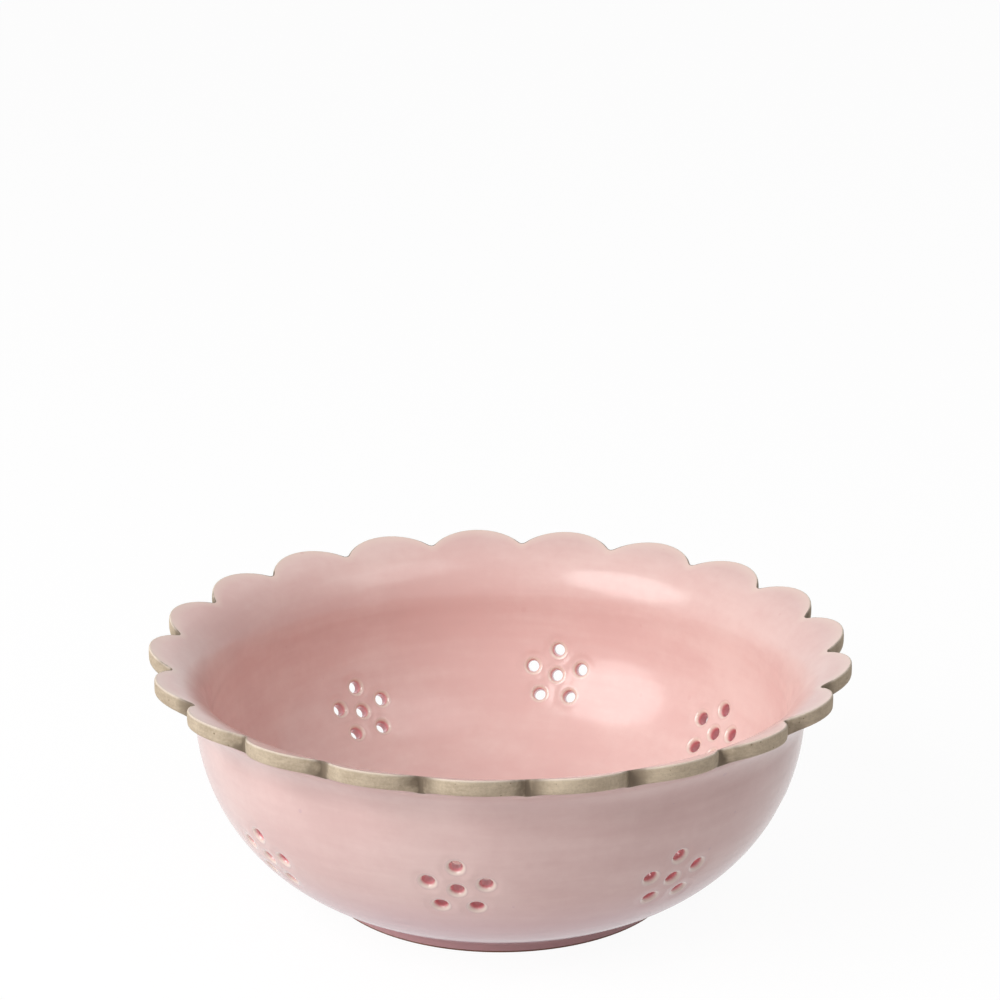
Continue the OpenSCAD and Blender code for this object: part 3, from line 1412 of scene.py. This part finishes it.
@dataclass(frozen=True)
class EdgeFinish(ClayFinish):
    """The bare cut edge: a glaze wash with a painted highlight on its upper corner, and painted shade with
    staining darkening every valley.
    """

    # Pale glaze wash with a painted highlight along the upper corner
    corner: Tone = tone(236, 220, 206)
    # Dark brown of the painted shade and staining in the valleys
    valley: Tone = tone(112, 97, 80)
    corner_span: Span = (0.20, 0.40)
    corner_share: float = 0.8
    corner_rag: Grain = Grain(400.0, 0.12)
    valley_patches: Grain = Grain(240.0)
    valley_patches_span: Span = (0.3, 0.6)
    valley_patches_least: float = 0.55
    valley_span: Span = (0.20, 0.65)
    valley_share: float = 0.9

    def stain_and_paint_light(self, nodes: Nodes, place: Socket, colour: Socket) -> Socket:
        """Stains the edge, paints a highlight along its upper corner and paints shade in its valleys.

        Args:
            nodes: the material's node builder.
            place: the object's coordinates.
            colour: the clay's colour.

        Returns:
            The stained colour, with its painted highlight and painted shade.
        """
        # The upper corner: glaze wash with a painted highlight
        across = nodes.total(nodes.value_of("across"), nodes.layer(place, self.corner_rag))
        corner_wash_and_highlight = nodes.remap(across, self.corner_span, self.corner_share, 0.0)
        # Each valley darkens in patches: painted shade with staining
        patchy = nodes.remap(nodes.noise(place, self.valley_patches), self.valley_patches_span, self.valley_patches_least, 1.0)
        valley_shade_and_staining = nodes.remap(nodes.times(nodes.value_of("valley"), patchy), self.valley_span, 0.0,
                              self.valley_share)
        return nodes.blend(valley_shade_and_staining, nodes.blend(corner_wash_and_highlight, colour, self.corner), self.valley)


class Palette:
    """Every finish of the bowl."""

    def __init__(self) -> None:
        """Builds the materials."""
        effects = Effects()
        # Outside: the low colour is pooled glaze with painted cool bounce light from the floor, and the foot
        # colour is painted shade
        self.outside = GlazeFinish(
            "pale_pink_glaze", effects, pale=tone(236, 206, 200), deep=tone(225, 190, 185),
            low=tone(208, 172, 182), thin=tone(238, 214, 204), hole=tone(206, 174, 172),
            foot=tone(222, 174, 176), pooling_and_bounce_span=(30.0 * MM, 4.0 * MM), foot_shade_top=4.0 * MM).material()
        self.inside = GlazeFinish(
            "dusty_rose_glaze", effects, pale=tone(239, 206, 199), deep=tone(230, 189, 183),
            low=tone(226, 180, 175), thin=tone(242, 216, 204), hole=tone(214, 174, 169),
            foot=tone(222, 170, 166), pooling_and_bounce_span=(16.0 * MM, 5.0 * MM), foot_shade_top=0.0).material()
        self.lining = LiningFinish(
            "pooled_rose_glaze", effects, outer=tone(224, 192, 188), inner=tone(230, 190, 183),
            bore=tone(236, 146, 156), ring=tone(240, 222, 208)).material()
        self.edge = EdgeFinish("bare_tan_edge", effects, light=tone(211, 194, 169),
                               dark=tone(178, 160, 136), speck=tone(128, 108, 85)).material()
        # The bare foot's clay is darker brown than the bare edge's
        self.foot = ClayFinish("dark_brown_bare_foot", effects, light=tone(170, 126, 104),
                               dark=tone(120, 82, 66), speck=tone(84, 58, 46)).material()
        self.body = ClayFinish("fired_body", effects, light=tone(214, 198, 172),
                               dark=tone(186, 168, 142), speck=tone(140, 120, 96)).material()


class Bowl:
    """The whole bowl, made piece by piece."""

    FLOWER_TURN = 79.5
    FLOWER_CLIMB = 61.5
    # Degrees off the even place, round the bowl and up the belly
    DRIFT = (-2.5, 0.0, 0.0, 2.5, 2.5, 1.0, 0.0, -3.0)
    RISE = (3.2, -4.8, 0.0, -1.2, 5.0, 0.9, 0.0, -2.6)
    FLOOR_START = 26.0 * MM
    BASE_COLUMNS = 168
    BASE_FILLET = 1.5 * MM
    BASE_ROWS = 4

    def __init__(self) -> None:
        """Works out the form, the flowers and the finishes."""
        self.sizes = BowlSizes()
        self.form = BowlForm(self.sizes)
        self.hole = HoleShape()
        self.palette = Palette()
        pitch = 360.0 / len(self.DRIFT)
        self.flowers = [
            WallFlower(math.radians(self.FLOWER_TURN + pitch * index + drift),
                       math.radians(self.FLOWER_CLIMB + rise))
            for index, (drift, rise) in enumerate(zip(self.DRIFT, self.RISE))]
        self.floor_flower = FloorFlower(math.radians(self.FLOWER_TURN))
        self.under = self.sizes.foot_height - self.sizes.glaze

    def _wall_coat(self, section: Section, start: float) -> GlazeCoat:
        """Rolls, punches and bends a coat of the wall.

        Args:
            section: the skin that it covers.
            start: distance along the section where it starts.

        Returns:
            The coat, still without its thickness.
        """
        coat = GlazeCoat(self.form, section, start, self.hole, self.form.columns)
        coat.roll_to_rim()
        for flower in self.flowers:
            coat.punch(flower)
        coat.bend()
        return coat

    def inside_coat(self) -> None:
        """Makes the rose coat inside, floor and brim included."""
        coat = self._wall_coat(self.form.inside, self.FLOOR_START)
        coat.fill_middle(self.floor_flower, self.sizes.floor_height)
        piece = link_piece("rose_glaze_inside", coat.thicken(), self.palette.inside)
        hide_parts("inner_glaze")

    def outside_coat(self) -> None:
        """Makes the pink coat outside, down over the foot's side."""
        coat = self._wall_coat(self.form.outside, 0.0)
        piece = link_piece("pink_glaze_outside", coat.thicken(), self.palette.outside)
        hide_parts("outer_glaze")

    def base_coat(self) -> None:
        """Makes the coat under the floor, with a fillet down to the foot."""
        straight = self.sizes.well_radius - self.sizes.glaze - self.BASE_FILLET
        section = Section(Side.OUTSIDE, (0.0, self.under), 0.0, [
            (straight, 0.0), (self.BASE_FILLET * math.pi / 2, -math.pi / 2), (self.sizes.coat, 0.0)])
        coat = GlazeCoat(self.form, section, self.FLOOR_START, self.hole, self.BASE_COLUMNS,
                         self.BASE_FILLET / self.BASE_ROWS)
        coat.roll(section.length)
        coat.bend()
        coat.fill_middle(self.floor_flower, self.under)
        piece = link_piece("pink_glaze_under_floor", coat.thicken(), self.palette.outside)
        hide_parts("base_glaze")

    def linings(self) -> None:
        """Makes the lining of every flower."""
        lining = DrainLining(self.sizes, self.hole)
        for index, flower in enumerate(self.flowers, start=1):
            shape = lining.line(flower.holes(self.form, Side.OUTSIDE), flower.holes(self.form, Side.INSIDE))
            self._lining_piece(f"wall_flower_lining_{index}", shape, f"drain_flower_{index}")
        shape = lining.line(self.floor_flower.holes(self.under, Side.OUTSIDE),
                            self.floor_flower.holes(self.sizes.floor_height, Side.INSIDE))
        self._lining_piece("floor_flower_lining", shape, "floor_flower")

    def _lining_piece(self, name: str, shape: Mesh, node: str) -> None:
        """Links one flower's lining.

        Args:
            name: name of the piece.
            shape: its closed mesh.
            node: the solid that it stands for.
        """
        piece = link_piece(name, shape, self.palette.lining)
        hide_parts(node)

    def edge(self) -> None:
        """Makes the bare cut edge."""
        shape = BareEdge(self.form, GlazeCoat.DIP[-1]).build()
        piece = link_piece("bare_cut_edge", shape, self.palette.edge)
        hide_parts("edge_band")

    def foot(self) -> None:
        """Makes the foot ring."""
        piece = link_piece("turned_foot", FootRing(self.sizes).build(), self.palette.foot)
        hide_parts("foot_ring")

    def body(self) -> None:
        """Gives the clay body, which the coats cover, its finish."""
        solid = frame["nodes"]["stoneware_body"]
        solid.data.materials.clear()
        solid.data.materials.append(self.palette.body)
        log.info("stoneware_body: %d faces", len(solid.data.polygons))

    def build(self) -> None:
        """Makes every piece in order."""
        self.body()
        self.inside_coat()
        self.outside_coat()
        self.base_coat()
        self.linings()
        self.edge()
        self.foot()


@dataclass(frozen=True)
class Lamp:
    """A soft round lamp: the way to it from the aim, its width in metres and its power in watts."""

    REACH = 1.15
    AIM = (0.0, 0.0, 0.03)

    name: str
    way: tuple[float, float, float]
    size: float
    power: float

    def hang(self) -> None:
        """Hangs the lamp, turned to the aim."""
        lamp = bpy.data.lights.new(self.name, "AREA")
        lamp.shape, lamp.size, lamp.energy = "DISK", self.size, self.power
        holder = bpy.data.objects.new(self.name, lamp)
        out = self.REACH * Vector(self.way)
        holder.location = Vector(self.AIM) + out
        holder.rotation_euler = (-out).to_track_quat("-Z", "Y").to_euler()
        bpy.context.scene.collection.objects.link(holder)


@dataclass(frozen=True)
class Studio:
    """A plain pale floor, soft light and the camera at the photograph's angle."""

    LAMPS = (Lamp("key", (-0.68, -0.43, 0.60), 0.95, 11.0), Lamp("fill", (0.44, -0.31, 0.84), 0.7, 1.9))
    SENSOR = 36.0
    CLIP = (0.01, 20.0)

    tilt: float = math.radians(22.39)
    distance: float = 0.8955
    aim_height: float = 0.0367
    frame_pixels: float = 1000.0
    focal_pixels: float = 3659.5
    seat_pixel: float = 740.0
    floor_size: float = 6.0
    paper: Tone = tone(226, 223, 224)
    paper_rough: float = 0.9
    paper_white: float = 1.03
    floor_glow: float = 0.92
    air: float = 0.28
    white: Tone = (1.0, 1.0, 1.0, 1.0)

    @staticmethod
    def seen(nodes: Nodes) -> Socket:
        """Tells, as 1 or 0, whether the ray comes from the camera, a reflection or a transmission."""
        ray = nodes.add("ShaderNodeLightPath").outputs
        return nodes.total(ray["Is Camera Ray"], ray["Is Glossy Ray"], ray["Is Transmission Ray"], clamp=True)

    def floor(self) -> None:
        """Lays the floor: pale paper for the light, and white with a faint shadow to the eye."""
        shape = bmesh.new()
        bmesh.ops.create_grid(shape, x_segments=1, y_segments=1, size=self.floor_size / 2)
        mesh = bpy.data.meshes.new("studio_floor")
        shape.to_mesh(mesh)
        shape.free()
        floor = bpy.data.objects.new("studio_floor", mesh)
        bpy.context.scene.collection.objects.link(floor)
        material = bpy.data.materials.new("studio_paper")
        material.use_nodes = True
        nodes = Nodes(material.node_tree)
        paper = nodes.tree.nodes["Principled BSDF"]
        nodes.feed(paper, {"Base Color": self.paper, "Roughness": self.paper_rough})
        white = nodes.add("ShaderNodeEmission", {"Strength": self.paper_white})
        share = nodes.times(self.seen(nodes), self.floor_glow)
        mix = nodes.add("ShaderNodeMixShader", {0: share, 1: paper.outputs[0], 2: white.outputs[0]})
        nodes.feed(nodes.tree.nodes["Material Output"], {"Surface": mix.outputs[0]})
        mesh.materials.append(material)

    def sky(self) -> None:
        """Sets a soft world that looks white to the eye."""
        world = bpy.data.worlds.new("studio_air")
        bpy.context.scene.world = world
        world.use_nodes = True
        nodes = Nodes(world.node_tree)
        strength = nodes.add("ShaderNodeMapRange", {"Value": self.seen(nodes), "To Min": self.air,
                                                    "To Max": 1.0}).outputs["Result"]
        nodes.feed(nodes.tree.nodes["Background"], {"Strength": strength, "Color": self.white})

    def camera(self) -> None:
        """Sets the camera at the photograph's angle, so that the bowl falls on its place in the frame."""
        camera = bpy.data.cameras.new("camera")
        camera.sensor_width = self.SENSOR
        camera.lens = self.SENSOR * self.focal_pixels / self.frame_pixels
        camera.clip_start, camera.clip_end = self.CLIP
        holder = bpy.data.objects.new("camera", camera)
        drop = math.atan((self.seat_pixel - self.frame_pixels / 2) / self.focal_pixels)
        holder.location = Vector((0.0, -self.distance * math.cos(self.tilt),
                                  self.aim_height + self.distance * math.sin(self.tilt)))
        holder.rotation_euler = (math.pi / 2 - self.tilt + drop, 0.0, 0.0)
        bpy.context.scene.collection.objects.link(holder)
        bpy.context.scene.camera = holder

    def build(self) -> None:
        """Sets the studio up, with the key on the left in front and a weaker lamp high on the right."""
        bpy.context.scene.view_settings.view_transform = "Standard"
        self.floor()
        self.sky()
        for lamp in self.LAMPS:
            lamp.hang()
        self.camera()


def main() -> None:
    """Builds the studio and the bowl."""
    logging.basicConfig(level=logging.INFO, format="%(name)s: %(message)s")
    Studio().build()
    Bowl().build()


if __name__ == "__main__":
    main()
